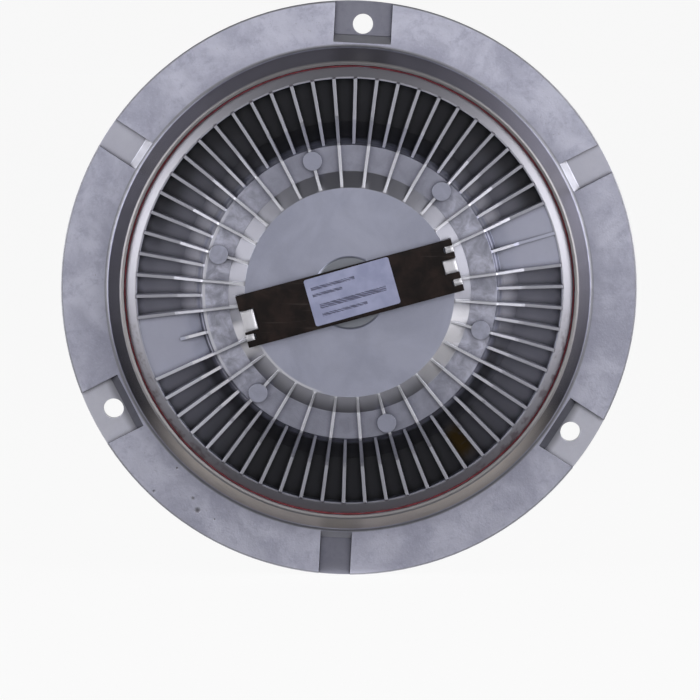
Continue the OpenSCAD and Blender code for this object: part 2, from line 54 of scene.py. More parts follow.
scene.view_settings.view_transform = "Standard"
mm = 0.001
perMetre = 1000.0  # mm, for measures inside the materials


def spot(radius, angle, forward):  # mm and degrees as seen from the front
    a = math.radians(angle)
    return Vector((radius * math.cos(a) * mm, -forward * mm, radius * math.sin(a) * mm))


def makeObject(name, bm, smooth=None):  # edges flatter than smooth degrees are shaded round
    mesh = bpy.data.meshes.new(name)
    bm.normal_update()
    bm.to_mesh(mesh)
    bm.free()
    obj = bpy.data.objects.new(name, mesh)
    scene.collection.objects.link(obj)
    if smooth is not None:
        mesh.shade_smooth()
        mesh.set_sharp_from_angle(angle=math.radians(smooth))
    return obj


def thicken(bm, depth):  # gives a sheet of faces a back, depth mm behind it
    grown = bmesh.ops.extrude_face_region(bm, geom=bm.faces[:])
    for v in grown["geom"]:
        if isinstance(v, bmesh.types.BMVert):
            v.co.y += depth * mm
    bmesh.ops.recalc_face_normals(bm, faces=bm.faces)


# shader helpers
def startMaterial(name):
    mat = bpy.data.materials.new(name)
    mat.use_nodes = True
    return mat, mat.node_tree, mat.node_tree.nodes["Principled BSDF"]


def plug(tree, node, ins):  # links another node's output or sets a plain value
    for key, value in ins.items():
        if isinstance(value, bpy.types.NodeSocket):
            tree.links.new(value, node.inputs[key])
        else:
            node.inputs[key].default_value = value


def wire(tree, kind, ins=None, **props):
    n = tree.nodes.new("ShaderNode" + kind)
    for key, value in props.items():
        setattr(n, key, value)
    plug(tree, n, ins or {})
    return n


def calc(tree, op, a, b=0.0):
    return wire(tree, "Math", {0: a, 1: b}, operation=op).outputs[0]


def times(tree, first, *others):
    for other in others:
        first = calc(tree, "MULTIPLY", first, other)
    return first


def add(tree, a, b):
    return calc(tree, "ADD", a, b)


def less(tree, a, b):
    return calc(tree, "SUBTRACT", a, b)


def most(tree, a, b):
    return calc(tree, "MAXIMUM", a, b)


def notIn(tree, mask):  # what a mask leaves free
    return less(tree, 1.0, mask)


def hypot(tree, a, b):
    return calc(tree, "SQRT", add(tree, times(tree, a, a), times(tree, b, b)))


def mixColour(tree, share, a, b):
    return wire(tree, "Mix", {0: share, 6: a, 7: b}, data_type="RGBA").outputs[2]


def mixValue(tree, share, a, b):
    return wire(tree, "Mix", {0: share, 2: a, 3: b}, data_type="FLOAT").outputs[0]


def ramp(tree, value, lo, hi, toLo=0.0, toHi=1.0):
    ends = {0: value, 1: lo, 2: hi, 3: toLo, 4: toHi}
    return wire(tree, "MapRange", ends, interpolation_type="SMOOTHSTEP").outputs[0]


def band(tree, value, lo, hi, soft):
    rise = ramp(tree, value, lo - soft, lo + soft)
    fall = ramp(tree, value, hi - soft, hi + soft, 1.0, 0.0)
    return times(tree, rise, fall)


def beam(tree, angle, turn, *spread):  # near one direction, by the cosine of the angle to it
    return ramp(tree, calc(tree, "COSINE", less(tree, angle, math.radians(turn))), *spread)


def wrap(tree, value, period):  # distance to the nearest whole period, with its sign
    periods = 40.5  # enough to stay above zero, and a half to centre it
    moved = add(tree, value, period * periods)
    return less(tree, calc(tree, "MODULO", moved, period), period / 2)


def grain(tree, coords, scale, detail=4.0, rough=0.6, distort=0.0):
    ins = {"Vector": coords, "Scale": scale, "Detail": detail, "Roughness": rough, "Distortion": distort}
    return wire(tree, "TexNoise", ins).outputs["Fac"]


def turnLines(tree, value, perMm):  # fine lathe lines along one measure
    ins = {"W": times(tree, value, perMm), "Scale": 1.0, "Detail": 3.0, "Roughness": 0.7}
    return wire(tree, "TexNoise", ins, noise_dimensions="1D").outputs["Fac"]


def objectCoords(tree):
    return wire(tree, "TexCoord").outputs["Object"]


def axisCoords(tree):  # radius and forward in mm, angle in radians
    coords = objectCoords(tree)
    x, y, z = wire(tree, "SeparateXYZ", {0: coords}).outputs
    radius = times(tree, hypot(tree, x, z), perMetre)
    forward = times(tree, y, -perMetre)
    angle = calc(tree, "ARCTAN2", z, x)
    return coords, radius, forward, angle


def dim(tree, colour, factor):
    return wire(tree, "VectorMath", {0: colour, 3: factor}, operation="SCALE").outputs[0]


def cornerShade(tree, reach, dark):  # painted shade in corners: 1 on open faces, dark deep in a corner
    shut, free = 0.3, 0.9  # how open a deep corner and a free face are
    n = wire(tree, "AmbientOcclusion", {"Distance": reach}, samples=8, only_local=True)
    return ramp(tree, n.outputs["AO"], shut, free, dark, 1.0)


def softEdge(tree, radius):
    return wire(tree, "Bevel", {"Radius": radius}, samples=4).outputs[0]


def bump(tree, bsdf, height, strength, depth, normal=None):
    ins = {"Strength": strength, "Distance": depth, "Height": height}
    if normal is not None:
        ins["Normal"] = normal
    tree.links.new(wire(tree, "Bump", ins).outputs[0], bsdf.inputs["Normal"])


def dress(node, mat):
    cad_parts[node].material_slots[0].material = mat


# drum and flange: sand-grey casting, turned on the drum side, milled on the pads
castHousing = {
    "dull": (0.56, 0.565, 0.70, 1), "pale": (0.77, 0.775, 0.92, 1), "stainAndShade": (0.45, 0.455, 0.58, 1),
    "speck": (0.36, 0.36, 0.41, 1), "behind": (0.40, 0.40, 0.425, 1), "rear": (0.56, 0.56, 0.585, 1),
    # beige of the lower drum wall, a painted reflection of the floor
    "turned": (0.74, 0.68, 0.61, 1),
    # dark and lighter painted shade of the drum wall
    "wallShade": (0.055, 0.052, 0.058, 1), "wallShadePale": (0.25, 0.24, 0.26, 1),
    "milled": (0.70, 0.70, 0.80, 1), "milledBolt": (0.84, 0.84, 0.94, 1), "milledShaded": (0.20, 0.20, 0.25, 1),
    "rampShade": (0.12, 0.12, 0.145, 1), "rampPale": (0.40, 0.40, 0.44, 1), "filletShade": (0.30, 0.30, 0.335, 1),
    "rimEdgeShade": (0.42, 0.42, 0.48, 1), "lip": (0.40, 0.385, 0.40, 1), "pitShade": (0.16, 0.15, 0.16, 1),
    # grain: scale, detail, roughness, twist
    "broad": (45.0, 5.0, 0.62, 0.6), "cloud": (190.0, 5.0, 0.7, 0.3), "fine": (1300.0, 3.0, 0.65),
    # shares: grain from and to, then the share at each end
    "paleShare": (0.36, 0.64), "stainShare": (0.48, 0.72, 0.0, 0.55), "fleckShare": (0.5, 0.72, 0.0, 0.35),
    "speckShare": (0.36, 0.24, 0.0, 0.5), "rearShare": (0.35, 0.65),
    "padShare": 0.78, "rampShare": 0.85, "pitShare": 0.8,
    # reach goes by radius and depth by forward measure, in mm: start and full, or from, to and softness
    "frontDepth": (48.8, 49.2), "rearDepth": (48.8, 47.0), "outsideReach": (84.6, 85.2),
    "drumFootShadeReach": (90.0, 84.5, 0.0, 0.35), "padDepth": (49.2, 49.65, 0.1), "rampDepth": (49.6, 50.95, 0.05),
    "rampReach": (88.5, 88.3), "shadowReach": (91.3, 88.3, 0.0, 0.6),
    "filletReach": (84.0, 85.0, 0.1), "filletDepth": (51.0, 51.9, 0.05),
    "edgeReach": (99.3, 99.6), "edgeDepth": (50.5, 50.7),
    "wallReach": (84.7, 83.6), "wallDepth": (51.1, 52.2), "lipDepth": (60.45, 60.65),
    # directions in degrees with their spread by cosine or sine
    "boltTurn": 87.0, "boltCount": 3.0, "boltSpread": (0.5, 0.6), "shadeSpread": (0.95, 0.97),
    "reflectionBelow": (-0.45, -0.8), "wallLitTurn": (65.0, -0.3, 0.9), "smudge": (268.0, 0.994, 0.999, 0.0, 0.25),
    # pits: across, up and size in mm
    "pits": (
        (-54.4, -73.2, 1.0), (-53.0, -77.4, 1.2), (-68.0, -70.6, 0.9),
        (-60.0, -62.5, 0.5), (-47.0, -80.5, 0.5)),
    "pitRagged": 1.6, "pitFrom": 1.8, "pitFull": 0.9,
    "rough": (0.3, 0.7, 0.44, 0.54), "wallRough": 0.42, "lineRough": 0.12, "linesPerMm": 6.0,
    "fineBump": 0.6, "cloudBump": 0.6, "smoothShare": 0.8, "lineBump": 0.5, "pitBump": 1.5,
    "bump": (0.4, 0.00025), "edge": 0.0002, "paintedCornerShade": (0.0032, 0.12),
}


def housingMaterial(s):
    mat, t, bsdf = startMaterial("castHousing")
    coords, radius, forward, angle = axisCoords(t)
    broad = grain(t, coords, *s["broad"])
    cloud = grain(t, coords, *s["cloud"])
    fine = grain(t, coords, *s["fine"])
    colour = mixColour(t, ramp(t, broad, *s["paleShare"]), s["dull"], s["pale"])
    colour = mixColour(t, ramp(t, cloud, *s["stainShare"]), colour, s["stainAndShade"])
    colour = mixColour(t, ramp(t, fine, *s["fleckShare"]), colour, s["pale"])
    colour = mixColour(t, ramp(t, fine, *s["speckShare"]), colour, s["speck"])
    rear = mixColour(t, ramp(t, cloud, *s["rearShare"]), s["behind"], s["rear"])
    colour = mixColour(t, ramp(t, forward, *s["rearDepth"]), colour, rear)
    front = ramp(t, forward, *s["frontDepth"])
    outside = ramp(t, radius, *s["outsideReach"])
    # painted shade on the flange face towards the drum foot
    drumFootShade = times(t, front, ramp(t, radius, *s["drumFootShadeReach"]))
    colour = mixColour(t, drumFootShade, colour, s["stainAndShade"])
    # pads: painted shade on the pads at top and bottom; the bolt pads at the sides get painted shadow at
    # their inner ends and on their ramps
    pads = times(t, band(t, forward, *s["padDepth"]), outside)
    turned = less(t, angle, math.radians(s["boltTurn"]))
    shadedPads = ramp(t, calc(t, "ABSOLUTE", calc(t, "COSINE", turned)), *s["shadeSpread"])
    boltPads = ramp(t, calc(t, "COSINE", times(t, turned, s["boltCount"])), *s["boltSpread"])
    shadowed = times(t, boltPads, notIn(t, shadedPads))
    milled = mixColour(t, boltPads, s["milled"], s["milledBolt"])
    milled = mixColour(t, shadedPads, milled, s["milledShaded"])
    colour = mixColour(t, times(t, pads, s["padShare"]), colour, milled)
    # painted shadow at the inner end of the bolt pads
    rampShadow = times(t, pads, shadowed, ramp(t, radius, *s["shadowReach"]))
    colour = mixColour(t, rampShadow, colour, s["rampShade"])
    # ramps darkened as painted shade, darkest on the bolt pads
    ramps = times(t, band(t, forward, *s["rampDepth"]), outside, ramp(t, radius, *s["rampReach"]))
    rampColour = mixColour(t, shadowed, s["rampPale"], s["rampShade"])
    colour = mixColour(t, times(t, ramps, s["rampShare"]), colour, rampColour)
    # painted shade in the fillet at the drum foot
    filletShade = times(t, band(t, radius, *s["filletReach"]), band(t, forward, *s["filletDepth"]))
    colour = mixColour(t, filletShade, colour, s["filletShade"])
    # painted shade along the flange's outer front edge
    corner = times(t, ramp(t, radius, *s["edgeReach"]), ramp(t, forward, *s["edgeDepth"]))
    colour = mixColour(t, corner, colour, s["rimEdgeShade"])
    # drum wall: darkened as painted shade, lighter towards the upper right as painted light, beige towards
    # the bottom as a painted reflection of the floor, with a small darker mark at the very bottom
    wall = times(t, ramp(t, radius, *s["wallReach"]), ramp(t, forward, *s["wallDepth"]))
    lip = ramp(t, forward, *s["lipDepth"])
    floorReflection = ramp(t, calc(t, "SINE", angle), *s["reflectionBelow"])
    floorReflection = less(t, floorReflection, beam(t, angle, *s["smudge"]))
    wallShade = mixColour(t, beam(t, angle, *s["wallLitTurn"]), s["wallShade"], s["wallShadePale"])
    colour = mixColour(t, wall, colour, mixColour(t, floorReflection, wallShade, s["turned"]))
    colour = mixColour(t, lip, colour, s["lip"])
    # small knocks in the flange face, darkened inside as painted shade
    flat = wire(t, "VectorMath", {0: coords, 1: (perMetre, 0.0, perMetre)}, operation="MULTIPLY").outputs[0]
    pits = 0.0
    for x, z, size in s["pits"]:
        far = wire(t, "VectorMath", {0: flat, 1: (x, 0.0, z)}, operation="DISTANCE").outputs["Value"]
        far = add(t, far, times(t, cloud, size * s["pitRagged"]))
        pits = most(t, pits, ramp(t, far, size * s["pitFrom"], size * s["pitFull"]))
    pits = times(t, pits, front)
    colour = mixColour(t, times(t, pits, s["pitShare"]), colour, s["pitShade"])
    # painted shade in the corners
    colour = dim(t, colour, cornerShade(t, *s["paintedCornerShade"]))
    lines = turnLines(t, forward, s["linesPerMm"])
    wallRough = add(t, s["wallRough"], times(t, lines, s["lineRough"]))
    rough = mixValue(t, most(t, wall, lip), ramp(t, cloud, *s["rough"]), wallRough)
    height = add(t, times(t, fine, s["fineBump"]), times(t, cloud, s["cloudBump"]))
    height = times(t, height, notIn(t, times(t, most(t, wall, pads), s["smoothShare"])))
    height = add(t, height, times(t, lines, wall, s["lineBump"]))
    height = less(t, height, times(t, pits, s["pitBump"]))
    bump(t, bsdf, height, *s["bump"], softEdge(t, s["edge"]))
    plug(t, bsdf, {"Base Color": colour, "Roughness": rough, "Metallic": 1.0})
    return mat


# front cover: smooth pressure casting, rim turned bright, channels darkened as painted shade, one oil mark
castCover = {
    "dull": (0.47, 0.485, 0.61, 1), "pale": (0.55, 0.565, 0.70, 1), "block": (0.56, 0.57, 0.70, 1),
    "ring": (0.36, 0.365, 0.45, 1), "ringPale": (0.74, 0.745, 0.88, 1), "centre": (0.30, 0.315, 0.345, 1),
    "cone": (0.27, 0.27, 0.31, 1), "conePale": (0.80, 0.80, 0.89, 1), "rib": (0.80, 0.80, 0.88, 1),
    "channel": (0.055, 0.055, 0.06, 1), "channelPale": (0.31, 0.31, 0.37, 1), "riser": (0.13, 0.13, 0.15, 1),
    "wall": (0.03, 0.03, 0.034, 1), "wallPale": (0.42, 0.415, 0.48, 1), "oil": (0.09, 0.05, 0.004, 1),
    "fin": (0.52, 0.52, 0.58, 1), "slope": (0.68, 0.68, 0.75, 1), "lug": (0.95, 0.94, 1.0, 1),
    "rim": (0.45, 0.445, 0.50, 1), "rimLit": (0.51, 0.505, 0.565, 1), "rimShaded": (0.36, 0.355, 0.40, 1),
    "smear": (0.13, 0.075, 0.085, 1),
    # grain: scale, detail, roughness, twist
    "broad": (45.0, 4.0, 0.6, 0.6), "cloud": (210.0, 5.0, 0.65, 0.6), "fine": (1700.0, 3.0, 0.65),
    "smearGrain": (240.0, 2.0),
    # shares: grain from and to, then the share at each end
    "paleShare": (0.34, 0.66), "fleckShare": (0.45, 0.7, 0.0, 0.15), "ringShare": (0.28, 0.74),
    "oilShare": (0.2, 0.5), "smearShare": (0.5, 0.66, 0.0, 0.5),
    "centreShare": 0.8, "bossShare": 0.6, "deepShare": 0.95, "riserShare": 0.8, "topShare": 0.9,
    # reach goes by radius and depth by forward measure, in mm: start and full, or from, to and softness
    "blockReach": (57.5, 73.4, 2.0), "centreReach": (13.7, 13.4), "centreDepth": (69.6, 70.0),
    "ringReach": (41.8, 51.1, 0.2), "coneReach": (36.1, 41.8, 0.2), "litReach": (36.1, 42.4, 1.0, 0.0),
    "glintReach": (35.3, 36.3, 0.2), "edgeReach": (49.8, 51.2, 0.2),
    "bossReach": (3.35, 3.15), "bossDepth": (67.5, 68.0),
    "ribWidth": (0.67, 0.55), "ribReach": (36.4, 51.7, 0.3),
    "deepReach": (50.7, 73.4, 0.2), "deepDepth": (63.6, 60.8), "floorReach": (55.5, 58.5),
    "shadowReach": (62.0, 71.0, 0.0, 0.9), "riserReach": (50.8, 54.1, 0.1), "riserDepth": (62.2, 66.1, 0.2),
    "topReach": (51.9, 73.7, 0.3), "topDepth": (63.55, 63.75),
    "slopeReach": (51.4, 59.5, 0.3), "slopeDepth": (63.9, 64.2),
    "oilReach": (59.5, 70.5, 3.0), "oilDepth": (62.5, 60.0),
    "rimReach": (73.55, 77.2, 0.1), "rimDepth": (58.8, 59.4), "smearReach": (74.6, 78.2, 0.4),
    "lugReach": (20.0, 24.0), "lugDepth": (70.7, 71.0),
    # pattern of the fins in degrees, bosses at their radius
    "blockTurn": 15.8, "blockHalf": 8.71, "ribStep": 11.613,
    "bossFirst": 23.226, "bossStep": 58.065, "bossAt": 46.96,
    # directions in degrees with their spread by cosine or sine
    "coneGlow": (-30.0, 0.90, 0.98), "coneSpot": (204.0, 0.984, 0.996), "glint": (232.0, 0.90, 0.97),
    "finGlow": (212.0, 0.92, 0.98), "oilTurn": (-56.4, -51.6), "oilSoft": 0.012,
    "sideLitSpread": (0.45, 1.0), "ringSides": (0.0, 1.0, 0.22, 1.0), "edgeLeft": (-0.75, -0.93),
    "slopeSides": (0.3, 0.8, 0.15, 1.0), "smearSides": (0.45, 0.7), "smearBelow": (-0.05, -0.3),
    "litBelow": (-0.1, -0.45), "wallAbove": (-0.5, -0.1, 0.12, 1.0), "shadowAbove": (0.1, 0.5),
    "rimShadeBelow": (-0.45, -0.85),
    "rough": (0.3, 0.7, 0.44, 0.54), "coneRough": 0.42, "slopeRough": 0.62, "rimRough": 0.46,
    "lineRough": 0.12, "linesPerMm": 7.0, "channelMetal": 0.05, "shine": 0.2,
    "fineBump": 0.4, "cloudBump": 0.35, "ringBump": 1.6, "smoothShare": 0.9, "lineBump": 0.4,
    "bump": (0.3, 0.00022), "edge": 0.0002, "lugEdge": 0.0016, "paintedCornerShade": (0.0026, 0.35),
}


def coverMaterial(s):
    mat, t, bsdf = startMaterial("castCover")
    coords, radius, forward, angle = axisCoords(t)
    broad = grain(t, coords, *s["broad"])
    cloud = grain(t, coords, *s["cloud"])
    fine = grain(t, coords, *s["fine"])
    upward = calc(t, "SINE", angle)
    level = calc(t, "COSINE", angle)
    aside = calc(t, "ABSOLUTE", level)
    sideLit = ramp(t, aside, *s["sideLitSpread"])  # painted light: left and right lighter than top and bottom
    # angle from the first fin of each half, the fins and bosses repeat along it
    blockHalf = math.radians(s["blockHalf"])
    ahead = math.pi * 4  # two turns on, so never below zero
    fromBlock = add(t, angle, ahead - math.radians(s["blockTurn"]))
    half = calc(t, "MODULO", fromBlock, math.pi)
    fromFin = less(t, half, blockHalf)
    inBlock = calc(t, "LESS_THAN", calc(t, "ABSOLUTE", wrap(t, half, math.pi)), blockHalf)
    # plateau and solid blocks
    colour = mixColour(t, ramp(t, broad, *s["paleShare"]), s["dull"], s["pale"])
    colour = mixColour(t, ramp(t, fine, *s["fleckShare"]), colour, s["pale"])
    colour = mixColour(t, times(t, inBlock, band(t, radius, *s["blockReach"])), colour, s["block"])
    centre = times(t, ramp(t, radius, *s["centreReach"]), ramp(t, forward, *s["centreDepth"]))
    colour = mixColour(t, times(t, centre, s["centreShare"]), colour, s["centre"])
    # ring and cone: painted light on the ring's sides and on the cone's lower half, painted highlights on the
    # cone and along the plateau and ring edges
    ringMask = band(t, radius, *s["ringReach"])
    # painted light: the mottled ring is paler at the sides
    ringPale = times(t, ramp(t, cloud, *s["ringShare"]), ramp(t, sideLit, *s["ringSides"]))
    colour = mixColour(t, ringMask, colour, mixColour(t, ringPale, s["ring"], s["ringPale"]))
    coneMask = band(t, radius, *s["coneReach"])
    # painted light on the lower half of the cone
    wornAndLit = times(t, ramp(t, upward, *s["litBelow"]), ramp(t, radius, *s["litReach"]))
    coneColour = mixColour(t, wornAndLit, s["cone"], s["conePale"])
    # painted highlights on the cone at lower right and lower left
    glow = most(t, beam(t, angle, *s["coneGlow"]), beam(t, angle, *s["coneSpot"]))
    colour = mixColour(t, coneMask, colour, mixColour(t, glow, coneColour, s["lug"]))
    # painted highlight along the plateau edge at lower left
    glint = times(t, beam(t, angle, *s["glint"]), band(t, radius, *s["glintReach"]))
    colour = mixColour(t, glint, colour, s["rib"])
    # painted highlight on the ring's outer edge at the left
    ringEdge = times(t, band(t, radius, *s["edgeReach"]), ramp(t, level, *s["edgeLeft"]))
    colour = mixColour(t, ringEdge, colour, s["rib"])
    # ribs over the ring and the cone, round bosses on the ring
    fromBoss = wrap(t, less(t, fromFin, math.radians(s["bossFirst"])), math.radians(s["bossStep"]))
    off = hypot(t, times(t, fromBoss, radius), less(t, radius, s["bossAt"]))
    bosses = times(t, ramp(t, off, *s["bossReach"]), ramp(t, forward, *s["bossDepth"]))
    fromRib = calc(t, "ABSOLUTE", wrap(t, fromFin, math.radians(s["ribStep"])))
    ribs = times(t, ramp(t, times(t, fromRib, radius), *s["ribWidth"]), band(t, radius, *s["ribReach"]))
    colour = mixColour(t, less(t, ribs, bosses), colour, s["rib"])
    colour = mixColour(t, times(t, bosses, s["bossShare"]), colour, s["dull"])
    # channels: cast skin between the fins darkened as painted shade, lighter at the sides as painted light
    deep = times(t, ramp(t, forward, *s["deepDepth"]), notIn(t, inBlock), band(t, radius, *s["deepReach"]))
    wallLit = times(t, sideLit, ramp(t, upward, *s["wallAbove"]))
    wallColour = mixColour(t, wallLit, s["wall"], s["wallPale"])
    # painted shadow of the rim at the outer end of the upper channels
    shadowed = times(t, ramp(t, radius, *s["shadowReach"]), ramp(t, upward, *s["shadowAbove"]))
    floorColour = mixColour(t, times(t, sideLit, notIn(t, shadowed)), s["channel"], s["channelPale"])
    deepColour = mixColour(t, ramp(t, radius, *s["floorReach"]), wallColour, floorColour)
    colour = mixColour(t, times(t, deep, s["deepShare"]), colour, deepColour)
    # painted shade on the riser wall between each block and the ring
    riser = times(t, band(t, radius, *s["riserReach"]), band(t, forward, *s["riserDepth"]), inBlock)
    colour = mixColour(t, times(t, riser, s["riserShare"]), colour, s["riser"])
    # fins: their tops and the slopes at their inner ends, with a painted highlight at lower left and the
    # slopes lighter at the sides as painted light
    tops = times(t, ramp(t, forward, *s["topDepth"]), band(t, radius, *s["topReach"]))
    finGlow = beam(t, angle, *s["finGlow"])
    colour = mixColour(t, times(t, tops, s["topShare"]), colour, mixColour(t, finGlow, s["fin"], s["rib"]))
    slopes = times(t, ramp(t, forward, *s["slopeDepth"]), band(t, radius, *s["slopeReach"]))
    slopeColour = mixColour(t, ramp(t, aside, *s["slopeSides"]), s["ring"], s["slope"])
    colour = mixColour(t, slopes, colour, mixColour(t, finGlow, slopeColour, s["lug"]))
    # oil mark in one channel
    oilFrom, oilTo = [math.radians(v) for v in s["oilTurn"]]
    oil = times(t, band(t, angle, oilFrom, oilTo, s["oilSoft"]), band(t, radius, *s["oilReach"]))
    oil = times(t, oil, ramp(t, forward, *s["oilDepth"]), ramp(t, cloud, *s["oilShare"]))
    colour = mixColour(t, oil, colour, s["oil"])
    # turned rim, painted shade on its lower half and painted light at its sides, dark reddish marks on its
    # lower sides, bright posts
    rim = times(t, band(t, radius, *s["rimReach"]), ramp(t, forward, *s["rimDepth"]))
    # painted shade on the lower rim, painted light at its sides
    rimColour = mixColour(t, ramp(t, upward, *s["rimShadeBelow"]), s["rim"], s["rimShaded"])
    colour = mixColour(t, rim, colour, mixColour(t, sideLit, rimColour, s["rimLit"]))
    smears = ramp(t, grain(t, coords, *s["smearGrain"]), *s["smearShare"])
    smears = times(t, smears, ramp(t, upward, *s["smearBelow"]), band(t, radius, *s["smearReach"]))
    smears = times(t, smears, ramp(t, aside, *s["smearSides"]))
    colour = mixColour(t, smears, colour, s["smear"])
    lugs = times(t, ramp(t, forward, *s["lugDepth"]), ramp(t, radius, *s["lugReach"]))
    colour = mixColour(t, lugs, colour, s["lug"])
    # painted shade in the corners
    colour = dim(t, colour, cornerShade(t, *s["paintedCornerShade"]))
    lines = turnLines(t, radius, s["linesPerMm"])
    rimRough = add(t, s["rimRough"], times(t, lines, s["lineRough"]))
    rough = mixValue(t, most(t, rim, lugs), ramp(t, cloud, *s["rough"]), rimRough)
    rough = mixValue(t, coneMask, rough, s["coneRough"])
    rough = mixValue(t, slopes, rough, s["slopeRough"])
    height = add(t, times(t, fine, s["fineBump"]), times(t, cloud, s["cloudBump"]))
    height = add(t, height, times(t, cloud, ringMask, s["ringBump"]))
    height = times(t, height, notIn(t, times(t, rim, s["smoothShare"])))
    height = add(t, height, times(t, lines, rim, s["lineBump"]))
    normals = {0: lugs, 4: softEdge(t, s["edge"]), 5: softEdge(t, s["lugEdge"])}
    bump(t, bsdf, height, *s["bump"], wire(t, "Mix", normals, data_type="VECTOR").outputs[1])
    metal = ramp(t, deep, 0.0, 1.0, 1.0, s["channelMetal"])
    plug(t, bsdf, {"Base Color": colour, "Roughness": rough})
    plug(t, bsdf, {"Metallic": metal, "Specular IOR Level": s["shine"]})
    return mat


# plain turned, ground or stamped metal with a little grain
plainMetal = {
    "scale": 260.0, "detail": 4.0, "grainRough": 0.6, "shade": 0.8, "shadeShare": (0.35, 0.65),
    "lineRough": 0.14, "edge": 0.0004, "bump": 0.2, "bumpDepth": 0.0001,
}


def metalMaterial(name, look):
    s = {**plainMetal, **look}
    mat, t, bsdf = startMaterial(name)
    coords, radius, forward, angle = axisCoords(t)
    cloud = grain(t, coords, s["scale"], s["detail"], s["grainRough"])
    lines = turnLines(t, add(t, radius, forward), s["lines"])
    dark = [v * s["shade"] for v in s["colour"]]
    colour = mixColour(t, ramp(t, cloud, *s["shadeShare"]), (*dark, 1), (*s["colour"], 1))
    rough = add(t, s["rough"], times(t, lines, s["lineRough"]))
    bump(t, bsdf, lines, s["bump"], s["bumpDepth"], softEdge(t, s["edge"]))
    plug(t, bsdf, {"Base Color": colour, "Roughness": rough, "Metallic": 1.0})
    return mat


# rubber, cage plastic, sealant: mottled, with a fine skin
plainSoft = {
    "scale": 320.0, "detail": 5.0, "grainRough": 0.65, "fine": (2600.0, 2.0), "shade": 0.6,
    "shadeShare": (0.35, 0.68), "roughGrain": (0.3, 0.7), "smoother": 0.08, "rougher": 0.1,
    "bump": (0.3, 0.0001),
}


def softMaterial(name, look):
    s = {**plainSoft, **look}
    mat, t, bsdf = startMaterial(name)
    coords = objectCoords(t)
    cloud = grain(t, coords, s["scale"], s["detail"], s["grainRough"])
    dark = [v * s["shade"] for v in s["colour"]]
    colour = mixColour(t, ramp(t, cloud, *s["shadeShare"]), (*dark, 1), (*s["colour"], 1))
    rough = ramp(t, cloud, *s["roughGrain"], s["rough"] - s["smoother"], s["rough"] + s["rougher"])
    bump(t, bsdf, grain(t, coords, *s["fine"]), *s["bump"])
    plug(t, bsdf, {"Base Color": colour, "Roughness": rough, "Metallic": 0.0})
    return mat


metalLooks = {
    "hubSteel": {
        "colour": (0.55, 0.55, 0.56), "rough": 0.28, "scale": 420.0, "lines": 4.0, "nodes": ["hub_shaft"]},
    "bearingSteel": {
        "colour": (0.66, 0.66, 0.67), "rough": 0.16, "lines": 9.0,
        "nodes": ["bearing_outer_ring", "bearing_inner_ring"]},
    "ballSteel": {
        "colour": (0.76, 0.76, 0.77), "rough": 0.06, "lines": 3.0, "bump": 0.02, "nodes": ["bearing_balls"]},
    "springSteel": {
        "colour": (0.16, 0.16, 0.17), "rough": 0.38, "lines": 6.0,
        "nodes": ["bearing_circlip", "rotor_circlip"]},
    "rotorAluminium": {"colour": (0.72, 0.72, 0.74), "rough": 0.3, "lines": 6.0, "nodes": ["rotor"]},
    "plateSteel": {"colour": (0.6, 0.6, 0.6), "rough": 0.3, "lines": 2.0, "nodes": ["separator_plate"]},
    "pinSteel": {
        "colour": (0.64, 0.64, 0.65), "rough": 0.18, "lines": 9.0, "nodes": ["lever_rivet", "control_pin"]},
}
softLooks = {
    "sealRubber": {
        "colour": (0.03, 0.03, 0.034), "rough": 0.6,
        "nodes": ["bearing_front_seal", "bearing_rear_seal", "pin_o_ring"]},
    "cagePlastic": {"colour": (0.52, 0.39, 0.2), "rough": 0.5, "nodes": ["bearing_cage"]},
}
dress("housing_body", housingMaterial(castHousing))
dress("front_cover", coverMaterial(castCover))
for looks, makeMaterial in ((metalLooks, metalMaterial), (softLooks, softMaterial)):
    for name, look in looks.items():
        mat = makeMaterial(name, look)
        for nodeName in look["nodes"]:
            dress(nodeName, mat)
for nodeName in ("housing_body", "front_cover"):
    print("dressed", nodeName, len(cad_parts[nodeName].data.polygons), "faces")

# red sealant pressed out between cover edge and lip
sealant = {
    "radius": 77.6, "forward": 59.7, "half": 0.32, "tall": 0.42, "steps": 720, "section": 10,
    "wobble": 0.1, "wobbleScale": 180.0, "swell": 0.35, "swellScale": 420.0, "smooth": 60,
}
sealantLook = {"colour": (0.26, 0.045, 0.06), "rough": 0.55, "scale": 500.0}


def makeSealant(s):
    bm = bmesh.new()
    rings = []
    for i in range(s["steps"]):
        a = 360.0 * i / s["steps"]
        at = spot(s["radius"], a, s["forward"])
        drift = s["wobble"] * noise.noise(at * s["wobbleScale"])
        swell = 1.0 + s["swell"] * noise.noise(at * s["swellScale"])
        ring = []
        for k in range(s["section"]):
            b = 2 * math.pi * k / s["section"]
            radius = s["radius"] + drift + s["half"] * swell * math.cos(b)
            ring.append(bm.verts.new(spot(radius, a, s["forward"] + s["tall"] * swell * math.sin(b))))
        rings.append(ring)
    for i in range(s["steps"]):
        here, there = rings[i], rings[(i + 1) % s["steps"]]
        for k in range(s["section"]):
            k2 = (k + 1) % s["section"]
            bm.faces.new((here[k], here[k2], there[k2], there[k]))
    bmesh.ops.recalc_face_normals(bm, faces=bm.faces)
    return makeObject("sealantBead", bm, s["smooth"])


sealantBead = makeSealant(sealant)
sealantBead.data.materials.append(softMaterial("redSilicone", sealantLook))
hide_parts("cover_seal")
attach(sealantBead, "housing")
print("sealant bead laid")

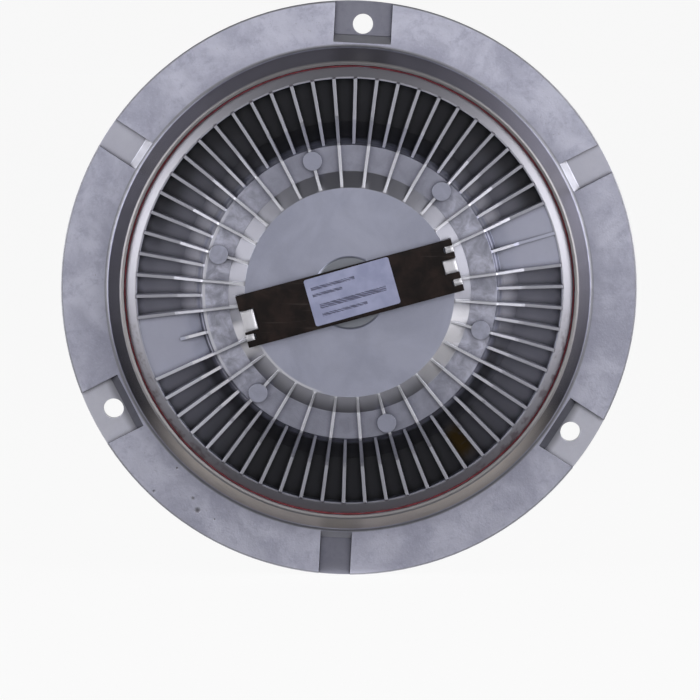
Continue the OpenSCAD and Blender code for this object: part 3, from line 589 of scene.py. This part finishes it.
# bimetal strip: dark blade with notched ends, fine enough to bow
strip = {
    "length": 76.6, "width": 18.4, "thick": 1.0, "under": 72.0, "turn": 15.0,
    "leftNotch": 7.6, "rightNotch": 5.0, "notchDepth": 5.0,
    "slitWidth": 1.6, "slitDepth": 3.4, "slitInset": 3.4,
    "bowFrom": -38, "bowHalf": 34.5, "stations": 48,
    "sharpFrom": 1.0, "bevel": 0.12, "bevelSteps": 2, "bevelShape": 0.6, "smooth": 40,
}


def stripSpot(u, v, forward, turn):  # along, across and forward in mm
    a = math.radians(turn)
    x = u * math.cos(a) - v * math.sin(a)
    z = u * math.sin(a) + v * math.cos(a)
    return Vector((x * mm, -forward * mm, z * mm))


def cutAway(u, v, s):  # notch in the middle of each end, slits beside it, none at the upper left
    half = s["length"] / 2
    slitAt = s["width"] / 2 - s["slitInset"]
    notch = s["rightNotch"] if u > 0 else s["leftNotch"]
    if abs(u) > half - s["notchDepth"] and abs(v) < notch / 2:
        return True
    inSlit = abs(abs(v) - slitAt) < s["slitWidth"] / 2 and abs(u) > half - s["slitDepth"]
    return inSlit and (u > 0 or v < 0)


def makeStrip(s):
    half, side = s["length"] / 2, s["width"] / 2
    slitAt, slitHalf = side - s["slitInset"], s["slitWidth"] / 2
    inner = half - s["notchDepth"]
    us = {half, inner, half - s["slitDepth"]}
    us |= {-u for u in us}
    us |= {-inner + 2 * inner * i / s["stations"] for i in range(s["stations"] + 1)}
    us = sorted({round(u, 4) for u in us})
    vs = {side, slitAt - slitHalf, slitAt + slitHalf, s["rightNotch"] / 2, s["leftNotch"] / 2}
    vs |= {-v for v in vs} | {0.0}
    vs = sorted(round(v, 4) for v in vs)
    bm = bmesh.new()
    dots = {}

    def dot(i, j):
        if (i, j) not in dots:
            dots[i, j] = bm.verts.new(stripSpot(us[i], vs[j], s["under"] + s["thick"], s["turn"]))
        return dots[i, j]

    for i in range(len(us) - 1):
        for j in range(len(vs) - 1):
            if not cutAway((us[i] + us[i + 1]) / 2, (vs[j] + vs[j + 1]) / 2, s):
                bm.faces.new((dot(i, j), dot(i + 1, j), dot(i + 1, j + 1), dot(i, j + 1)))
    thicken(bm, s["thick"])
    sharp = [e for e in bm.edges if len(e.link_faces) == 2 and e.calc_face_angle() > s["sharpFrom"]]
    rounding = {"offset": s["bevel"] * mm, "segments": s["bevelSteps"], "profile": s["bevelShape"]}
    bmesh.ops.bevel(bm, geom=sharp, affect="EDGES", **rounding)
    return makeObject("bimetalBlade", bm, s["smooth"])


def bowWeights(obj, s):  # ends stay on their ledges, the middle goes with the pin
    a = math.radians(s["turn"])
    weights = obj.data.attributes["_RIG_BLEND"]
    for i, v in enumerate(obj.data.vertices):
        u = (v.co.x * math.cos(a) + v.co.z * math.sin(a)) / mm
        k = min(1.0, abs(u) / s["bowHalf"])
        weights.data[i].value = 1 - k * k


stripLook = {
    "dark": (0.011, 0.008, 0.008, 1), "brown": (0.027, 0.017, 0.015, 1), "wornAndLit": (0.12, 0.10, 0.09, 1),
    "stretch": (30, 400, 700), "streak": (1.0, 4.0, 0.65),
    "cloud": (150.0, 5.0, 0.62, 0.5), "fine": (2000.0, 2.0),
    "brownShare": (0.35, 0.7), "wornShare": (0.58, 0.75, 0.0, 0.35), "rough": (0.3, 0.7, 0.40, 0.54),
    "streakBump": 0.6, "fineBump": 0.4, "bump": (0.25, 0.0001), "metal": 0.3, "shine": 0.25,
}


def stripMaterial(s):
    mat, t, bsdf = startMaterial("darkBimetal")
    coords = objectCoords(t)
    along = {"Vector": coords, "Rotation": (0, math.radians(strip["turn"]), 0), "Scale": s["stretch"]}
    streak = grain(t, wire(t, "Mapping", along).outputs[0], *s["streak"])
    cloud = grain(t, coords, *s["cloud"])
    fine = grain(t, coords, *s["fine"])
    colour = mixColour(t, ramp(t, cloud, *s["brownShare"]), s["dark"], s["brown"])
    colour = mixColour(t, ramp(t, streak, *s["wornShare"]), colour, s["wornAndLit"])
    rough = ramp(t, cloud, *s["rough"])
    height = add(t, times(t, streak, s["streakBump"]), times(t, fine, s["fineBump"]))
    bump(t, bsdf, height, *s["bump"])
    plug(t, bsdf, {"Base Color": colour, "Roughness": rough})
    plug(t, bsdf, {"Metallic": s["metal"], "Specular IOR Level": s["shine"]})
    return mat


stripPiece = makeStrip(strip)
stripPiece.data.materials.append(stripMaterial(stripLook))
bowStart = tuple(stripSpot(strip["bowFrom"], 0, strip["under"], strip["turn"]))
bowEnd = tuple(stripSpot(0, 0, strip["under"], strip["turn"]))
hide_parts("bimetal_strip")
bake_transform(stripPiece, "housing", "control_pin", start=bowStart, end=bowEnd)
bowWeights(stripPiece, strip)
print("strip", len(stripPiece.data.vertices), "vertices")

# foil label: rounded corners, plain grey print lines, stuck on a little askew
label = {
    "length": 30.2, "width": 16.5, "thick": 0.15, "under": 73.0, "sunk": 0.01,
    "turn": 15.8, "slide": (0.9, 0.35), "corner": 0.8, "cornerSteps": 6,
    "stations": 28, "across": (-1, -0.5, 0, 0.5, 1), "weld": 0.001, "smooth": 40,
}


def makeLabel(s):
    bm = bmesh.new()
    half, side, c = s["length"] / 2, s["width"] / 2, s["corner"]
    steps, across = s["cornerSteps"], s["across"]
    curve = [c * (1 - math.cos(math.pi / 2 * k / steps)) for k in range(steps)]
    us = [-half + d for d in curve]
    us += [-half + c + (s["length"] - 2 * c) * i / s["stations"] for i in range(s["stations"] + 1)]
    us += [half - d for d in reversed(curve)]
    slideU, slideV = s["slide"]
    rows = []
    for u in us:
        past = max(0.0, abs(u) - (half - c))
        reach = side - c + math.sqrt(max(0.0, c * c - past * past))
        front = s["under"] + s["thick"]
        places = [stripSpot(u + slideU, v * reach + slideV, front, s["turn"]) for v in across]
        rows.append([bm.verts.new(place) for place in places])
    for a, b in zip(rows, rows[1:]):
        for k in range(len(across) - 1):
            bm.faces.new((a[k], b[k], b[k + 1], a[k + 1]))
    bmesh.ops.remove_doubles(bm, verts=bm.verts, dist=s["weld"] * mm)
    thicken(bm, s["thick"] + s["sunk"])
    return makeObject("foilLabel", bm, s["smooth"])


labelLook = {
    "foil": (0.41, 0.43, 0.62, 1), "foilDim": (0.33, 0.35, 0.53, 1), "print": (0.075, 0.075, 0.13, 1),
    "cloud": (200.0, 4.0, 0.6), "foilShare": (0.3, 0.7), "rough": (0.3, 0.7, 0.36, 0.52),
    # rows of dashes in mm: height on the label, first and last place, half of the row's height
    "rows": (
        (4.9, -12.5, 3.0, 0.55), (2.6, -12.5, -2.0, 0.5), (-1.6, -11.0, 12.5, 0.85), (-4.6, -11.0, 5.0, 0.5)),
    "rowSoft": 0.08, "endSoft": 0.1,
    "dashAlong": 1.7, "dashAcross": 3.0, "dashShare": (0.40, 0.46), "ink": 0.85,
    "bump": (0.15, 0.0001), "metal": 0.25,
}


def labelMaterial(s):
    mat, t, bsdf = startMaterial("foilLabel")
    coords = objectCoords(t)
    turned = {"Vector": coords, "Axis": (0, 1, 0), "Angle": math.radians(label["turn"])}
    flat = wire(t, "VectorRotate", turned, rotation_type="AXIS_ANGLE").outputs[0]
    x, y, z = wire(t, "SeparateXYZ", {0: flat}).outputs
    u = times(t, x, perMetre)
    v = times(t, z, perMetre)
    cloud = grain(t, coords, *s["cloud"])
    colour = mixColour(t, ramp(t, cloud, *s["foilShare"]), s["foilDim"], s["foil"])
    rows = 0.0
    for at, first, last, tall in s["rows"]:
        row = times(t, band(t, v, at - tall, at + tall, s["rowSoft"]), band(t, u, first, last, s["endSoft"]))
        rows = most(t, rows, row)
    place = add(t, times(t, u, s["dashAlong"]), times(t, v, s["dashAcross"]))
    ins = {"W": place, "Scale": 1.0, "Detail": 1.0}
    dashes = wire(t, "TexNoise", ins, noise_dimensions="1D").outputs["Fac"]
    ink = times(t, rows, ramp(t, dashes, *s["dashShare"]), s["ink"])
    colour = mixColour(t, ink, colour, s["print"])
    bump(t, bsdf, cloud, *s["bump"])
    plug(t, bsdf, {"Base Color": colour, "Roughness": ramp(t, cloud, *s["rough"]), "Metallic": s["metal"]})
    return mat


labelPiece = makeLabel(label)
labelPiece.data.materials.append(labelMaterial(labelLook))
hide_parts("strip_label")
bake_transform(labelPiece, "housing", "control_pin", start=bowStart, end=bowEnd)
bowWeights(labelPiece, strip)
print("label laid")

# valve leaf inside: same shape, bends from its rivet to the pin
leaf = {"turn": 105.0, "rivetAt": -23.4, "forward": 54, "longFrom": 12.0, "cuts": 5, "smooth": 40}
leafLook = {"colour": (0.62, 0.46, 0.24), "rough": 0.28, "lines": 3.0}
leafMesh = bmesh.new()
leafMesh.from_mesh(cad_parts["valve_lever"].data)
longEdges = [e for e in leafMesh.edges if e.calc_length() > leaf["longFrom"] * mm]
bmesh.ops.subdivide_edges(leafMesh, edges=longEdges, cuts=leaf["cuts"])
bmesh.ops.triangulate(leafMesh, faces=leafMesh.faces[:])
leafPiece = makeObject("valveLeaf", leafMesh, leaf["smooth"])
leafPiece.data.materials.clear()
leafPiece.data.materials.append(metalMaterial("leafBronze", leafLook))
leafStart = tuple(stripSpot(leaf["rivetAt"], 0, leaf["forward"], leaf["turn"]))
leafEnd = tuple(stripSpot(0, 0, leaf["forward"], leaf["turn"]))
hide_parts("valve_lever")
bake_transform(leafPiece, "housing", "control_pin", start=leafStart, end=leafEnd)
print("valve leaf bent")

# left-hand thread in the hub: a ridge wound on the core wall
thread = {
    "core": 11.2, "ridge": 0.45, "pitch": 1.5, "length": 17.0, "start": 0.5, "steps": 64,
    "fadeSteps": 30.0, "sunk": 0.02, "crest": (0.42, 0.58), "smooth": 35,
}
threadLook = {"colour": (0.5, 0.49, 0.47), "rough": 0.3, "lines": 2.0}


def makeThread(s):
    bm = bmesh.new()
    pitch, root = s["pitch"], s["core"] + s["sunk"]
    crestFrom, crestTo = s["crest"]
    count = int((s["length"] - pitch) / pitch * s["steps"])
    last = None
    for i in range(count + 1):
        a = -360.0 * i / s["steps"]  # seen from the front, so the helix is left-hand
        z = s["start"] + pitch * i / s["steps"]
        fade = min(1.0, i / s["fadeSteps"], (count - i) / s["fadeSteps"])
        top = s["core"] - s["ridge"] * fade
        section = ((root, 0.0), (top, crestFrom * pitch), (top, crestTo * pitch), (root, pitch))
        row = [bm.verts.new(spot(r, a, z + d)) for r, d in section]
        if last:
            for k in range(len(section) - 1):
                bm.faces.new((last[k], last[k + 1], row[k + 1], row[k]))
        last = row
    bmesh.ops.recalc_face_normals(bm, faces=bm.faces)
    return makeObject("hubThread", bm, s["smooth"])


threadPiece = makeThread(thread)
threadPiece.data.materials.append(metalMaterial("threadSteel", threadLook))
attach(threadPiece, "hub")
print("thread cut")

# studio: pale floor and walls, a soft panel at each side, a dim one in front, a dark mat under the lens
studio = {
    "floor": -0.1003, "floorHalf": 60.0, "backdropHalf": 15.0, "wallAt": 6.0, "wallTall": 8,
    "white": 0.93, "pale": (0.86, 0.86, 0.86, 1), "paleRough": 0.9, "world": 0.06,
    "matNear": -0.0525, "matFar": -2.6, "matHalf": 1.3, "matLift": 0.0005, "matGrey": (0.35, 0.35, 0.35, 1),
    "lightsAim": (0, -0.055, 0),
    "lights": {
        "softLeft": {"at": (-1.05, -0.60, 0.25), "size": (1.0, 1.0), "watts": 9.0},
        "softRight": {"at": (1.05, -0.60, 0.24), "size": (1.0, 1.0), "watts": 10.5},
        "softFront": {"at": (0.35, -2.5, 0.7), "size": (2.6, 1.6), "watts": 9.0},
    },
}


def paleMaterial(s):
    mat, t, bsdf = startMaterial("paleStudio")
    plug(t, bsdf, {"Base Color": s["pale"], "Roughness": s["paleRough"]})
    path = wire(t, "LightPath").outputs
    seen = most(t, most(t, path["Is Camera Ray"], path["Is Glossy Ray"]), path["Is Transmission Ray"])
    glow = wire(t, "Emission", {"Color": (1, 1, 1, 1), "Strength": 1.0})
    both = wire(t, "MixShader", {0: times(t, seen, s["white"]), 1: bsdf.outputs[0], 2: glow.outputs[0]})
    t.links.new(both.outputs[0], t.nodes["Material Output"].inputs[0])
    return mat


def makeSheet(name, corners, mat):
    bm = bmesh.new()
    bm.faces.new([bm.verts.new(c) for c in corners])
    obj = makeObject(name, bm)
    obj.data.materials.append(mat)
    return obj


def layFlat(name, half, start, end, height, mat):
    corners = [(-half, start, height), (half, start, height), (half, end, height), (-half, end, height)]
    return makeSheet(name, corners, mat)


def raiseWall(name, start, end, mat):
    low, high = studio["floor"], studio["floor"] + studio["wallTall"]
    return makeSheet(name, [(*start, low), (*end, low), (*end, high), (*start, high)], mat)


def hideFrom(obj, *rays):
    for ray in rays:
        setattr(obj, "visible_" + ray, False)


pale = paleMaterial(studio)
half = studio["floorHalf"]
layFlat("studioFloor", half, -half, half, studio["floor"], pale)
half, wallAt = studio["backdropHalf"], studio["wallAt"]
raiseWall("studioBackdrop", (-half, wallAt), (half, wallAt), pale)
corners = [(-wallAt, wallAt), (-wallAt, -wallAt), (wallAt, -wallAt), (wallAt, wallAt)]
for name, start, end in zip(("studioLeft", "studioFront", "studioRight"), corners, corners[1:]):
    wall = raiseWall(name, start, end, pale)
    hideFrom(wall, "diffuse", "glossy", "transmission", "shadow")  # only a camera that looks that way sees it
darkMat, matTree, matBsdf = startMaterial("darkMat")
plug(matTree, matBsdf, {"Base Color": studio["matGrey"], "Roughness": 1.0})
matTop = studio["floor"] + studio["matLift"]
matSheet = layFlat("darkMat", studio["matHalf"], studio["matFar"], studio["matNear"], matTop, darkMat)
hideFrom(matSheet, "camera", "shadow", "diffuse")

world = bpy.data.worlds.new("studioWorld")
scene.world = world
world.use_nodes = True
plug(world.node_tree, world.node_tree.nodes["Background"], {0: (1, 1, 1, 1), 1: studio["world"]})


def softLight(name, s, target):
    data = bpy.data.lights.new(name, "AREA")
    data.shape = "RECTANGLE"
    data.size, data.size_y = s["size"]
    data.energy = s["watts"]
    obj = bpy.data.objects.new(name, data)
    obj.location = s["at"]
    obj.rotation_euler = (target - obj.location).to_track_quat("-Z", "Y").to_euler()
    hideFrom(obj, "camera")
    scene.collection.objects.link(obj)


for name, light in studio["lights"].items():
    softLight(name, light, Vector(studio["lightsAim"]))

# camera: long lens, a little above and to the left of the axis
view = {
    "distance": 1.8, "up": 4.7, "left": 0.6, "across": 243.4, "aimX": 0.3, "aimZ": -21.3, "plane": 51.0,
    "sensor": 36.0, "clipEnd": 100.0,
}
cameraData = bpy.data.cameras.new("camera")
camera = bpy.data.objects.new("camera", cameraData)
scene.collection.objects.link(camera)
scene.camera = camera
up, left = math.radians(view["up"]), math.radians(view["left"])
aim = Vector((view["aimX"] * mm, -view["plane"] * mm, view["aimZ"] * mm))
back = Vector((-math.sin(left) * math.cos(up), -math.cos(left) * math.cos(up), math.sin(up)))
camera.location = aim + back * view["distance"]
camera.rotation_euler = (-back).to_track_quat("-Z", "Y").to_euler()
cameraData.sensor_width = view["sensor"]
cameraData.lens = view["sensor"] * view["distance"] / (view["across"] * mm)
cameraData.clip_end = view["clipEnd"]
print("studio ready")
